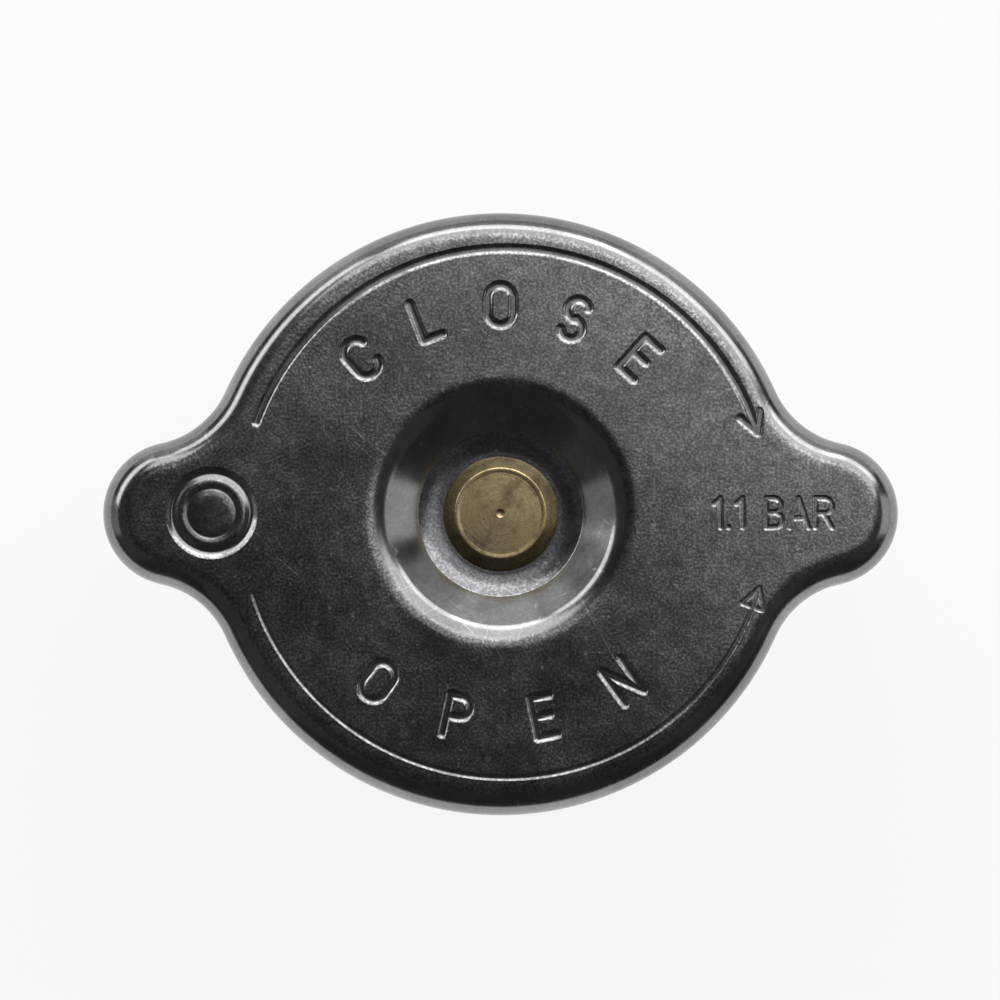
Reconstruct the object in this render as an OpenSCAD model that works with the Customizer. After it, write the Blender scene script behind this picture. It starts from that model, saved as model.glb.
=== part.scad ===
// Radiator pressure cap: a pressed shell with two ears that turns on a brass rivet, and under it
// a sprung pressure valve with a small vacuum valve inside.
// Millimetres. +Z is up and the cap stands on its valve gasket at z = 0. The ears lie along X.

/* [Cap shell] */
// Diameter of the round body
body_d = 62; // [60:0.5:66]
// Overall length across the two ears
ear_span = 81.8; // [78:0.2:88]
// Radius of each ear's round end
ear_r = 7.4; // [6.4:0.1:8.4]
// Radius of the hollow blend between the body and an ear
blend_r = 9.5; // [7:0.25:12]
// Thickness of the pressed sheet
sheet_t = 1; // [0.8:0.05:1.2]
// Outside radius of the rounded top edge
edge_r = 3; // [2.4:0.1:3.6]
// Height from the skirt's lower edge to the flat top
shell_h = 12.5; // [11.5:0.1:13.5]

/* [Locking tangs] */
// How far each tang reaches in from the skirt's inner face
tang_reach = 3.8; // [3:0.1:4.2]
// Angle that each tang covers
tang_angle = 38; // [28:1:46]
// Outside radius of the bend between skirt and tang
tang_bend_r = 1.6; // [1.4:0.1:1.8]
// Angle of the relief notch on each side of a tang
tang_relief = 2; // [1:0.5:3]

/* [Centre dish] */
// Diameter at which the flat top starts to fall into the dish
dish_d = 27.8; // [26:0.2:29]
// Diameter of the crease between the dish's wall and floor
dish_floor_d = 17; // [16:0.2:18]
// Depth of the dish's floor below the flat top
dish_depth = 3.6; // [3:0.1:4.2]
// Radius of the rounded lip of the dish
dish_lip_r = 4; // [3:0.1:4.6]
// Rise of the floor from its flat middle to the crease
floor_rise = 0.5; // [0.2:0.05:0.6]

/* [Blank medallion] */
// Diameter of the round stamping on one ear
medal_d = 9.2; // [8:0.2:10]
// Distance of its centre from the centre of the ear, towards the body
medal_inset = 3.9; // [3:0.1:5]
// Depth of the groove round it
medal_depth = 0.35; // [0.25:0.05:0.5]
// Depth of its domed crown below the flat top
medal_sink = 0.05; // [0.03:0.01:0.1]

/* [Centre rivet] */
// Diameter of the head
rivet_head_d = 11.7; // [10.8:0.1:12]
// Diameter of the flat on top of the head
rivet_top_d = 9.3; // [8.4:0.1:10]
// Height of the head
rivet_head_h = 1.9; // [1.6:0.1:2.4]
// Height of the head's straight side, below its chamfer
rivet_side_h = 0.7; // [0.5:0.1:1.2]
// Diameter of the lathe centre in the head
pip_d = 1; // [0.6:0.1:1.4]
// Diameter of the shoulder that the shell turns on
rivet_shoulder_d = 6; // [5.6:0.1:6.6]
// Diameter of the shank below the shoulder
rivet_shank_d = 4.8; // [4:0.1:5.2]
// Diameter of the formed tail
rivet_tail_d = 8; // [7:0.1:9]
// Height of the formed tail
rivet_tail_h = 1.4; // [1:0.1:1.8]
// Diameter of the washer under the tail
washer_d = 11; // [10:0.2:13]
// Thickness of that washer
washer_t = 0.8; // [0.5:0.1:1.2]

/* [Diaphragm and upper seal] */
// Thickness of the diaphragm spring
diaphragm_t = 0.4; // [0.3:0.05:0.6]
// Drop from its clamped middle to its flat rim
diaphragm_drop = 1.8; // [1.2:0.1:2.4]
// Width of the upper seal ring
seal_w = 4.2; // [3.4:0.1:4.6]
// Thickness of the upper seal ring
seal_t = 1.6; // [1.2:0.1:2]

/* [Spring bell] */
// Outside diameter of the bell
bell_d = 34; // [33:0.2:35]
// Height of the bell
bell_h = 16.2; // [15:0.1:18]
// Thickness of its sheet
bell_t = 0.8; // [0.6:0.05:0.9]
// Outside radius of its top edge
bell_edge_r = 2.2; // [1.6:0.1:2.8]
// Inward reach of the lip that keeps the valve in
bell_lip = 2.6; // [2.4:0.1:2.8]
// Number of windows in its wall
bell_windows = 4; // [3:1:6]
// Width of each window
window_w = 7; // [5:0.25:7]
// Height of each window
window_h = 8; // [7:0.25:9]

/* [Pressure valve] */
// Travel of the pressure valve
lift_travel = 4; // [3:0.1:5]
// Wire diameter of the pressure spring
spring_wire = 2; // [1.6:0.1:2.2]
// Number of turns of the pressure spring
spring_turns = 5.5; // [4.5:0.5:6.5]
// Thickness of the spring cup's sheet
cup_t = 0.8; // [0.6:0.05:1]
// Outside diameter of the gasket pan
pan_d = 41.7; // [40:0.1:42.5]
// Thickness of the pan's sheet
pan_t = 0.8; // [0.6:0.05:1]
// Depth of the pan's turned-down rim, from its top face
pan_rim_h = 2.2; // [2:0.1:2.6]
// Thickness of the gasket's sealing ring
gasket_t = 2.8; // [2.6:0.1:3.4]
// Thickness of the gasket's inner web
gasket_web_t = 1.2; // [1:0.1:1.4]
// Diameter of the recess inside the sealing ring
gasket_recess_d = 22; // [19:0.2:24]

/* [Vacuum valve] */
// Travel of the vacuum valve
vacuum_travel = 1.8; // [1.2:0.1:2.2]
// Diameter of the poppet's disc
poppet_d = 15.6; // [14:0.2:17]
// Thickness of the poppet's disc
poppet_t = 1.2; // [0.9:0.05:1.3]
// Diameter of the poppet's stem
stem_d = 3; // [2.6:0.1:3.4]
// Diameter of the stem's peened end
stem_head_d = 4.4; // [4:0.1:5]
// Height of the stem's peened end
stem_head_h = 0.7; // [0.5:0.1:1]
// Bore of the port eyelet
port_d = 6.4; // [5.8:0.1:6.8]
// Wall thickness of the port eyelet
eyelet_t = 0.7; // [0.5:0.05:0.8]
// Outward reach of the eyelet's rolled lower end
eyelet_flare = 1.1; // [0.8:0.1:1.4]
// Wire diameter of the vacuum spring
light_wire = 0.5; // [0.4:0.05:0.6]
// Outside diameter of the vacuum spring
light_d = 9.6; // [9.2:0.1:10]
// Number of turns of the vacuum spring
light_turns = 4; // [3:0.5:4.5]
// Thickness of the keeper washer on the stem
keeper_t = 0.8; // [0.6:0.1:1]

/* [Hidden] */
$fn = 96;
// Gaps: where the shell turns on the rivet, where pieces slide past or stay clear of each other,
// where they rest on each other, and round a shank in its hole
swivel_gap = 0.05;
slide_gap = 0.3;
rest_gap = 0.05;
hole_gap = 0.05;
// Edge left outside a spring by what it sits on
seat_margin = 0.6;
// How far a cutter runs past the face that it cuts
over = 1;
// How far a blend or a bend dips into the faces beside it, so that they cross cleanly
seam_dip = 0.02;
// Pitch of a spring's closed end turns, in wire diameters
closed_pitch = 1.04;

// Heights, from the gasket up
web_z = gasket_t - gasket_web_t;
pan_top = gasket_t + pan_t;
cup_floor = pan_top + cup_t;
bell_bottom = pan_top + lift_travel + slide_gap;
flange_z = bell_bottom + bell_t + rest_gap;
cup_top = flange_z + cup_t;
bell_top = bell_bottom + bell_h;
bell_roof = bell_top - bell_t;
diaphragm_top = bell_top + diaphragm_t;
rim_z = bell_top - diaphragm_drop;
seal_z = rim_z - seal_t;
floor_under = diaphragm_top + swivel_gap;
floor_top = floor_under + sheet_t;
shell_top = floor_top + dish_depth;
skirt_z = shell_top - shell_h;
washer_z = bell_roof - washer_t;
eyelet_top = cup_floor + eyelet_t;
light_h = (light_turns + 1) * light_wire + vacuum_travel + slide_gap;
keeper_z = eyelet_top + light_h + rest_gap;
keeper_top = keeper_z + keeper_t;

// Radii that follow from what fits round or inside what
body_r = body_d / 2;
tang_in_r = body_r - sheet_t - tang_reach;
diaphragm_r = tang_in_r - slide_gap;
seal_out_r = diaphragm_r - slide_gap;
seal_in_r = seal_out_r - seal_w;
shank_hole_r = rivet_shank_d / 2 + hole_gap;
bell_r = bell_d / 2;
lip_bend_r = 2 * bell_t;
lip_in_r = bell_r - bell_lip;
flange_r = bell_r - lip_bend_r;
cup_r = lip_in_r - 2 * slide_gap;
spring_r = cup_r - cup_t - slide_gap;
pan_r = pan_d / 2;
port_r = port_d / 2;
eyelet_r = port_r + eyelet_t;
eyelet_hole_r = eyelet_r + hole_gap;
flare_r = eyelet_r + eyelet_flare;
gasket_hole_r = flare_r + slide_gap;
keeper_r = light_d / 2 + seat_margin;
eyelet_flange_r = keeper_r + slide_gap;

// Plan of an ear: its centre, and the centre of the hollow blend beside it
ear_x = ear_span / 2 - ear_r;
to_blend = body_r + blend_r;
blend_x = (to_blend ^ 2 - (ear_r + blend_r) ^ 2 + ear_x ^ 2) / (2 * ear_x);
blend_y = sqrt(to_blend ^ 2 - blend_x ^ 2);

// Section of the dish, measured from the flat top: its wall runs from the crease up to a
// tangent on the lip, and its floor curves up from the flat middle to the crease
crease = [dish_floor_d / 2, floor_rise - dish_depth];
lip_centre = [dish_d / 2, -dish_lip_r];
crease_to_lip = lip_centre - crease;
wall_angle = atan2(crease_to_lip.y, crease_to_lip.x) + asin(dish_lip_r / norm(crease_to_lip));
floor_flat_r = rivet_head_d / 2 + slide_gap;
floor_run = crease.x - floor_flat_r;
floor_bow_r = (floor_run ^ 2 + floor_rise ^ 2) / (2 * floor_rise);
floor_angle = asin(floor_run / floor_bow_r);
floor_centre = [floor_flat_r, floor_bow_r - dish_depth];

// A rectangle between two corners, for sections in the plane of radius and height
module span(low, high) {
    translate(low) square(high - low);
}

// A quarter of a ring in one of the four quadrants, for bends in sheet
module bend(centre, inner_r, outer_r, quadrant) {
    translate(centre)
    rotate(90 * quadrant)
    intersection() {
        difference() {
            circle(outer_r);
            if (inner_r > 0) circle(inner_r);
        }
        square(outer_r);
    }
}

// A turned ring between two radii and two heights
module ring(in_r, out_r, low, high) {
    rotate_extrude() span([in_r, low], [out_r, high]);
}

// Section of a ring or disc whose outer top edge is rounded
module edged_section(in_r, out_r, low, high, edge) {
    span([in_r, low], [out_r - edge, high]);
    span([in_r, low], [out_r, high - edge]);
    bend([out_r - edge, high - edge], 0, edge, 0);
}

// Section of a low dome that stands on z = 0
module dome_section(base_r, height) {
    dome_r = (base_r ^ 2 + height ^ 2) / (2 * height);
    intersection() {
        translate([0, height - dome_r]) circle(dome_r);
        span([0, 0], [base_r, height]);
    }
}

// What a hollow blend takes away: the rounded edge seen from outside the body
module blend_section(r, low, high, edge) {
    span([0, low - over], [r, high + over]);
    difference() {
        span([0, high - edge], [r + edge, high + over]);
        translate([r + edge, high - edge]) circle(edge);
    }
}

// Section of the space above the dish's sheet, moved down through the sheet by depth
module dish_section(depth, high) {
    wall_foot = crease + depth * [sin(wall_angle), -cos(wall_angle)];
    wall_head = lip_centre + (dish_lip_r - depth) * [-sin(wall_angle), cos(wall_angle)];
    floor_edge = floor_centre + (floor_bow_r + depth) * [sin(floor_angle), -cos(floor_angle)];
    floor_z = -dish_depth - depth;
    intersection() {
        span([0, floor_z], [lip_centre.x, high]);
        union() {
            difference() {
                polygon([
                    [0, high], [0, wall_foot.y], wall_foot, wall_head,
                    lip_centre, [lip_centre.x, high]
                ]);
                translate(lip_centre) circle(dish_lip_r - depth);
            }
            intersection() {
                translate(floor_centre) circle(floor_bow_r + depth);
                polygon([
                    [0, high], [0, floor_z], [floor_centre.x, floor_z],
                    floor_centre + 2 * (floor_edge - floor_centre), floor_centre
                ]);
            }
            span([0, floor_z], [floor_centre.x, high]);
            if (depth > 0) translate(crease) circle(depth + seam_dip);
        }
    }
}

// The eared body as a solid with the dish in its middle, moved in by inset all round and on top
module eared_body(inset, low) {
    high = shell_top - inset;
    edge = edge_r - inset;
    blend_near = [blend_x, -blend_y];
    blend_far = [blend_x, blend_y];

    rotate_extrude()
    difference() {
        edged_section(0, body_r - inset, low, high, edge);
        translate([0, shell_top]) dish_section(inset, over);
    }
    for (side = [0, 180]) rotate(side) {
        translate([ear_x, 0, 0])
        rotate_extrude()
        edged_section(0, ear_r - inset, low, high, edge);

        difference() {
            translate([0, 0, low])
            linear_extrude(high - low)
            polygon([blend_near / 2, blend_near, [ear_x, 0], blend_far, blend_far / 2]);

            for (blend = [blend_near, blend_far])
            translate(blend)
            rotate_extrude()
            blend_section(blend_r + seam_dip + inset, low, high, edge);
        }
    }
}

// The two sectors of a turned section that lie over an angle about the middle of each tang
module at_tangs(angle) {
    corner = 2 * body_r * [sin(angle / 2), cos(angle / 2)];
    intersection() {
        rotate_extrude() children();
        linear_extrude(shell_top)
        for (side = [-1, 1])
        polygon([[0, 0], [corner.x, side * corner.y], [-corner.x, side * corner.y]]);
    }
}

// Section of a tang: the skirt's lower edge bent in
module tang_section() {
    bend_x = body_r - tang_bend_r;
    span([tang_in_r, skirt_z], [bend_x, skirt_z + sheet_t]);
    bend([bend_x, skirt_z + tang_bend_r], tang_bend_r - sheet_t, tang_bend_r, 3);
}

// Section of the medallion's groove, which leaves a low dome inside, measured from the flat top
module medal_section() {
    groove_r = medal_d / 2 - medal_depth;
    difference() {
        polygon([
            [0, over], [0, -medal_depth], [groove_r, -medal_depth],
            [medal_d / 2, 0], [medal_d / 2, over]
        ]);
        translate([0, -medal_depth]) dome_section(groove_r, medal_depth - medal_sink);
    }
}

module cap_shell() color("dimgray") {
    difference() {
        eared_body(0, skirt_z);
        eared_body(sheet_t, skirt_z - over);

        // Notches that free the tangs from the skirt beside them
        at_tangs(tang_angle + 2 * tang_relief)
        span([body_r - tang_bend_r, skirt_z - over], [body_r + over, skirt_z + tang_bend_r]);

        translate([0, 0, floor_under - over])
        cylinder(r = rivet_shoulder_d / 2 + swivel_gap, h = sheet_t + 2 * over);

        translate([medal_inset - ear_x, 0, shell_top])
        rotate_extrude()
        medal_section();
    }
    at_tangs(tang_angle) tang_section();
}

module centre_rivet() color("goldenrod") {
    head_z = floor_top + swivel_gap;
    head_top = head_z + rivet_head_h;
    head_r = rivet_head_d / 2;
    shank_r = rivet_shank_d / 2;
    shoulder_r = rivet_shoulder_d / 2;
    pip_h = pip_d / 4;
    difference() {
        rotate_extrude() {
            polygon([
                [0, washer_z], [shank_r, washer_z], [shank_r, diaphragm_top],
                [shoulder_r, diaphragm_top], [shoulder_r, head_z], [head_r, head_z],
                [head_r, head_z + rivet_side_h], [rivet_top_d / 2, head_top], [0, head_top]
            ]);
            translate([0, washer_z]) mirror([0, 1]) dome_section(rivet_tail_d / 2, rivet_tail_h);
        }
        // The lathe centre is a cone that runs on above the head
        translate([0, 0, head_top - pip_h]) cylinder(d1 = 0, d2 = 2 * pip_d, h = 2 * pip_h);
    }
}

module rivet_washer() color("silver") {
    ring(shank_hole_r, washer_d / 2, washer_z, bell_roof);
}

module diaphragm_spring() color("lightsteelblue") {
    crown_r = bell_r + 2 * slide_gap;
    rim_r = seal_in_r - slide_gap;
    rotate_extrude()
    polygon([
        [shank_hole_r, bell_top], [crown_r, bell_top], [rim_r, rim_z], [diaphragm_r, rim_z],
        [diaphragm_r, rim_z + diaphragm_t], [rim_r, rim_z + diaphragm_t],
        [crown_r, diaphragm_top], [shank_hole_r, diaphragm_top]
    ]);
}

module upper_seal() color("black") {
    ring(seal_in_r, seal_out_r, seal_z, rim_z);
}

// A window through the bell's wall, with a half-round head and foot
module bell_window() {
    straight = window_h - window_w;
    rotate([90, 0, 90])
    linear_extrude(bell_r + over)
    translate([0, (bell_bottom + bell_top) / 2]) {
        if (straight > 0) square([window_w, straight], center = true);
        for (end = [-1, 1]) translate([0, end * straight / 2]) circle(window_w / 2);
    }
}

module spring_bell() color("khaki") {
    difference() {
        rotate_extrude() {
            // Roof, top bend, wall, lower bend and lip
            span([shank_hole_r, bell_roof], [bell_r - bell_edge_r, bell_top]);
            bend([bell_r - bell_edge_r, bell_top - bell_edge_r], bell_edge_r - bell_t, bell_edge_r, 0);
            span([bell_r - bell_t, bell_bottom + lip_bend_r], [bell_r, bell_top - bell_edge_r]);
            bend([bell_r - lip_bend_r, bell_bottom + lip_bend_r], lip_bend_r - bell_t, lip_bend_r, 3);
            span([lip_in_r, bell_bottom], [bell_r - lip_bend_r, bell_bottom + bell_t]);
        }
        for (i = [0 : bell_windows - 1]) rotate((i + 0.5) * 360 / bell_windows) bell_window();
    }
}

// Height of a coil's centreline after a number of turns, with a closed turn at each end
function coil_z(turn, turns, wire, height) =
    let(
        closed = closed_pitch * wire,
        open_pitch = (height - wire - 2 * closed) / (turns - 2)
    )
    turn < 1 ? wire / 2 + closed * turn
    : turn > turns - 1 ? height - wire / 2 - closed * (turns - turn)
    : wire / 2 + closed + open_pitch * (turn - 1);

// A helical spring that stands on z = 0
module coil(turns, wire, out_r, height, per_turn, sides) {
    rings = ceil(turns * per_turn);
    points = [
        for (i = [0 : rings])
        let(turn = i * turns / rings, angle = 360 * turn, z = coil_z(turn, turns, wire, height))
        for (k = [0 : sides - 1])
        let(around = 360 * k / sides, r = out_r - wire / 2 + wire / 2 * cos(around))
        [r * cos(angle), r * sin(angle), z + wire / 2 * sin(around)]
    ];
    side_faces = [
        for (i = [0 : rings - 1]) for (k = [0 : sides - 1])
        let(next = (k + 1) % sides)
        [i * sides + k, i * sides + next, (i + 1) * sides + next, (i + 1) * sides + k]
    ];
    start_face = [for (k = [sides - 1 : -1 : 0]) k];
    end_face = [for (k = [0 : sides - 1]) rings * sides + k];
    polyhedron(points, concat(side_faces, [start_face], [end_face]));
}

module pressure_spring() color("gray") {
    translate([0, 0, cup_floor])
    coil(spring_turns, spring_wire, spring_r, bell_roof - cup_floor, per_turn = 24, sides = 10);
}

module spring_cup() color("silver") {
    floor_bend = 2 * cup_t;
    rotate_extrude() {
        // Floor, lower bend, wall and the flange that the bell's lip holds
        span([eyelet_hole_r, pan_top], [cup_r - floor_bend, cup_floor]);
        bend([cup_r - floor_bend, pan_top + floor_bend], floor_bend - cup_t, floor_bend, 3);
        span([cup_r - cup_t, pan_top + floor_bend], [cup_r, cup_top]);
        span([cup_r - cup_t, flange_z], [flange_r, cup_top]);
    }
}

module gasket_pan() color("silver") {
    rim_bend = 2 * pan_t;
    rotate_extrude() {
        // Floor, bend and turned-down rim
        span([eyelet_hole_r, gasket_t], [pan_r - rim_bend, pan_top]);
        bend([pan_r - rim_bend, pan_top - rim_bend], rim_bend - pan_t, rim_bend, 0);
        span([pan_r - pan_t, pan_top - pan_rim_h], [pan_r, pan_top - rim_bend]);
    }
}

module valve_gasket() color("black") {
    recess_r = gasket_recess_d / 2;
    rotate_extrude() {
        // Sealing ring, rounded to fit the pan's bend, and the web inside it
        edged_section(recess_r, pan_r - pan_t - rest_gap, 0, gasket_t, pan_t);
        span([gasket_hole_r, web_z], [recess_r, gasket_t]);
    }
}

module port_eyelet() color("goldenrod") {
    flare_z = gasket_t - eyelet_t;
    rotate_extrude()
    polygon([
        [port_r, flare_z], [flare_r, flare_z], [flare_r, gasket_t], [eyelet_r, gasket_t],
        [eyelet_r, cup_floor], [eyelet_flange_r, cup_floor], [eyelet_flange_r, eyelet_top],
        [port_r, eyelet_top]
    ]);
}

module vacuum_poppet() color("goldenrod") {
    disc_top = web_z - rest_gap;
    disc_z = disc_top - poppet_t;
    disc_r = poppet_d / 2;
    chamfer = poppet_t / 3;
    rotate_extrude() {
        polygon([
            [0, disc_z], [disc_r - chamfer, disc_z], [disc_r, disc_z + chamfer],
            [disc_r, disc_top], [0, disc_top]
        ]);
        span([0, disc_top], [stem_d / 2, keeper_top]);
        translate([0, keeper_top]) dome_section(stem_head_d / 2, stem_head_h);
    }
}

module vacuum_spring() color("gray") {
    translate([0, 0, eyelet_top])
    coil(light_turns, light_wire, light_d / 2, light_h, per_turn = 20, sides = 8);
}

module vacuum_keeper() color("silver") {
    ring(stem_d / 2 + hole_gap, keeper_r, keeper_z, keeper_top);
}

cap_shell();
centre_rivet();
rivet_washer();
diaphragm_spring();
upper_seal();
spring_bell();
pressure_spring();
spring_cup();
gasket_pan();
valve_gasket();
port_eyelet();
vacuum_poppet();
vacuum_spring();
vacuum_keeper();
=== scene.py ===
"""Looks of a two-eared radiator cap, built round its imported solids.

Shapes are worked out in millimetres, in the frame of the solids, and scaled to metres when a
piece is finished. The ears lie along X and the flat top faces +Z.
"""

import logging
import math
from dataclasses import dataclass
from enum import Enum
from typing import Any, Iterable, Sequence, Union

import bmesh
import bpy
from mathutils import Matrix, Vector


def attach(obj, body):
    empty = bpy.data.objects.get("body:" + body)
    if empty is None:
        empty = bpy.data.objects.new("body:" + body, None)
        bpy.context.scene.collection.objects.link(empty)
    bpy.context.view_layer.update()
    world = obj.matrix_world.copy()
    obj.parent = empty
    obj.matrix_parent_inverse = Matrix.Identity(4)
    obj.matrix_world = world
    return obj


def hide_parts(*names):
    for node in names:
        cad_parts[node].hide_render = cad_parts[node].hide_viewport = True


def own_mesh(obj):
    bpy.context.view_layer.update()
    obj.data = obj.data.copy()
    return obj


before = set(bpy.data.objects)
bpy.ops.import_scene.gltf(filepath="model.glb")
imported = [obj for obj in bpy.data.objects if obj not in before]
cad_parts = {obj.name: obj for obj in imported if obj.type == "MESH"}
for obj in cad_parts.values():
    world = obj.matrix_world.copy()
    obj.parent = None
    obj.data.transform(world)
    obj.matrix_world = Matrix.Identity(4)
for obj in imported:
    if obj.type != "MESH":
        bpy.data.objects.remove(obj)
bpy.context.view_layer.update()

log = logging.getLogger("radiator_cap")

MM = 0.001
UP = Vector((0.0, 0.0, 1.0))
FULL_TURN = 360.0
HALF_TURN = 180.0
# Vertices that lie closer, in millimetres, are one
MERGE = 2e-3
# Edges that bend by less are shaded smooth
SMOOTH_BELOW = math.radians(24)

Number = Union[float, "Signal"]
Pair = tuple[float, float]
Triple = tuple[float, float, float]
Colour = tuple[float, float, float, float]
Cutters = list[bpy.types.Object]


class Body(Enum):
    """The rigid bodies that pieces ride on."""

    SHELL = "shell"
    BELL = "bell"
    PRESSURE_VALVE = "pressure_valve"
    VACUUM_VALVE = "vacuum_valve"


class Slot(Enum):
    """The record's material slots."""

    PLATED_STEEL = "plated_steel"
    BRASS = "brass"
    SPRING_STEEL = "spring_steel"
    TINNED_STEEL = "tinned_steel"
    RUBBER = "rubber"


# Shader maths


class Signal:
    """A shader socket that can be used in Python arithmetic."""

    def __init__(self, tree: "ShaderTree", socket: bpy.types.NodeSocket) -> None:
        """Wraps one output socket of a tree."""
        self.tree = tree
        self.socket = socket

    def _math(self, operation: str, first: Number, second: Number) -> "Signal":
        """Adds one Math node for an operation on two values."""
        return self.tree.node("ShaderNodeMath", {"operation": operation}, {0: first, 1: second})

    def __add__(self, other: Number) -> "Signal":
        """self + other"""
        return self._math("ADD", self, other)

    def __radd__(self, other: Number) -> "Signal":
        """other + self"""
        return self._math("ADD", other, self)

    def __sub__(self, other: Number) -> "Signal":
        """self - other"""
        return self._math("SUBTRACT", self, other)

    def __mul__(self, other: Number) -> "Signal":
        """self * other"""
        return self._math("MULTIPLY", self, other)

    def ramp(self, low: float, high: float) -> "Signal":
        """Smooth step from 0 at low to 1 at high, which is below low for a falling step."""
        inputs = {0: self, 1: low, 2: high, 3: 0.0, 4: 1.0}
        return self.tree.node("ShaderNodeMapRange", {"interpolation_type": "SMOOTHSTEP"}, inputs)


class ShaderTree:
    """Node tree of a material or a world, with the place on the piece in millimetres."""

    def __init__(self, owner: bpy.types.Material | bpy.types.World) -> None:
        """Empties the owner's tree."""
        owner.use_nodes = True
        self.tree = owner.node_tree
        self.tree.nodes.clear()

    def node(
        self, kind: str, settings: dict[str, Any] | None = None,
        inputs: dict[Any, Any] | None = None, output: Any = 0,
    ) -> Signal | None:
        """Adds a node.

        Args:
            kind: the node's type.
            settings: its properties, which are set first.
            inputs: values or links of its sockets, by name or number.
            output: name or number of the socket to return.

        Returns:
            The chosen output socket, or None where the node has none.
        """
        made = self.tree.nodes.new(kind)
        for name, value in (settings or {}).items():
            setattr(made, name, value)
        for key, value in (inputs or {}).items():
            if isinstance(value, Signal):
                self.tree.links.new(value.socket, made.inputs[key])
            else:
                made.inputs[key].default_value = value
        return Signal(self, made.outputs[output]) if len(made.outputs) else None

    def vector_math(self, operation: str, inputs: dict[Any, Any], output: Any = 0) -> Signal:
        """Adds a Vector Math node."""
        return self.node("ShaderNodeVectorMath", {"operation": operation}, inputs, output)

    def seen_by(self, ray: str) -> Signal:
        """1 for one kind of ray, such as Is Camera Ray, and 0 for the others."""
        return self.node("ShaderNodeLightPath", output=ray)

    def place(self) -> Signal:
        """Place on the piece, in millimetres."""
        coordinates = self.node("ShaderNodeTexCoord", output="Object")
        return self.vector_math("SCALE", {0: coordinates, "Scale": 1 / MM})

    def stretched(self, vector: Signal, turn: float, size: Triple) -> Signal:
        """Where to read a pattern whose features have a size along axes turned from X."""
        inputs = {"Vector": vector, "Rotation": (0.0, 0.0, math.radians(turn)), "Scale": size}
        return self.node("ShaderNodeMapping", {"vector_type": "TEXTURE"}, inputs)

    def noise(
        self, vector: Signal, per_mm: float, detail: float = 2.0, rough: float = 0.5
    ) -> Signal:
        """Fractal noise from 0 to 1, by features to the millimetre, octaves and their weight."""
        inputs = {"Vector": vector, "Scale": per_mm, "Detail": detail, "Roughness": rough}
        return self.node("ShaderNodeTexNoise", None, inputs, "Fac")

    def height(self, vector: Signal) -> Signal:
        """Height over the floor."""
        return self.node("ShaderNodeSeparateXYZ", None, {0: vector}, "Z")

    def radius(self, vector: Signal) -> Signal:
        """Distance from the cap's axis."""
        flat = self.vector_math("MULTIPLY", {0: vector, 1: (1, 1, 0)})
        return self.vector_math("LENGTH", {0: flat}, "Value")

    def blend(self, amount: Number, first: Any, second: Any) -> Signal:
        """Mixes two colours or links: an amount of 0 is the first and 1 the second."""
        settings = {"data_type": "RGBA", "clamp_factor": True}
        return self.node("ShaderNodeMix", settings, {0: amount, 6: first, 7: second}, 2)

    def bump(self, height: Signal, distance_mm: float) -> Signal:
        """Surface normal from a height, where 1 stands for a distance in millimetres."""
        inputs = {"Strength": 1.0, "Distance": distance_mm * MM, "Height": height}
        return self.node("ShaderNodeBump", None, inputs)

    def surface(self, inputs: dict[str, Any]) -> None:
        """Ends the tree in a Principled shader with these inputs."""
        shader = self.node("ShaderNodeBsdfPrincipled", None, inputs)
        self.node("ShaderNodeOutputMaterial", None, {"Surface": shader})


def grey(level: float) -> Colour:
    """A neutral colour of one linear level."""
    return (level, level, level, 1.0)


@dataclass(frozen=True)
class Finish:
    """A finish that several pieces share."""

    name: str
    slot: Slot

    def material(self) -> bpy.types.Material:
        """The finish's material, made on first use."""
        known = bpy.data.materials.get(self.name)
        if known:
            return known
        made = bpy.data.materials.new(self.name)
        self.dress(ShaderTree(made))
        return made

    def dress(self, tree: ShaderTree) -> None:
        """Fills the material's tree."""
        raise NotImplementedError


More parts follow.
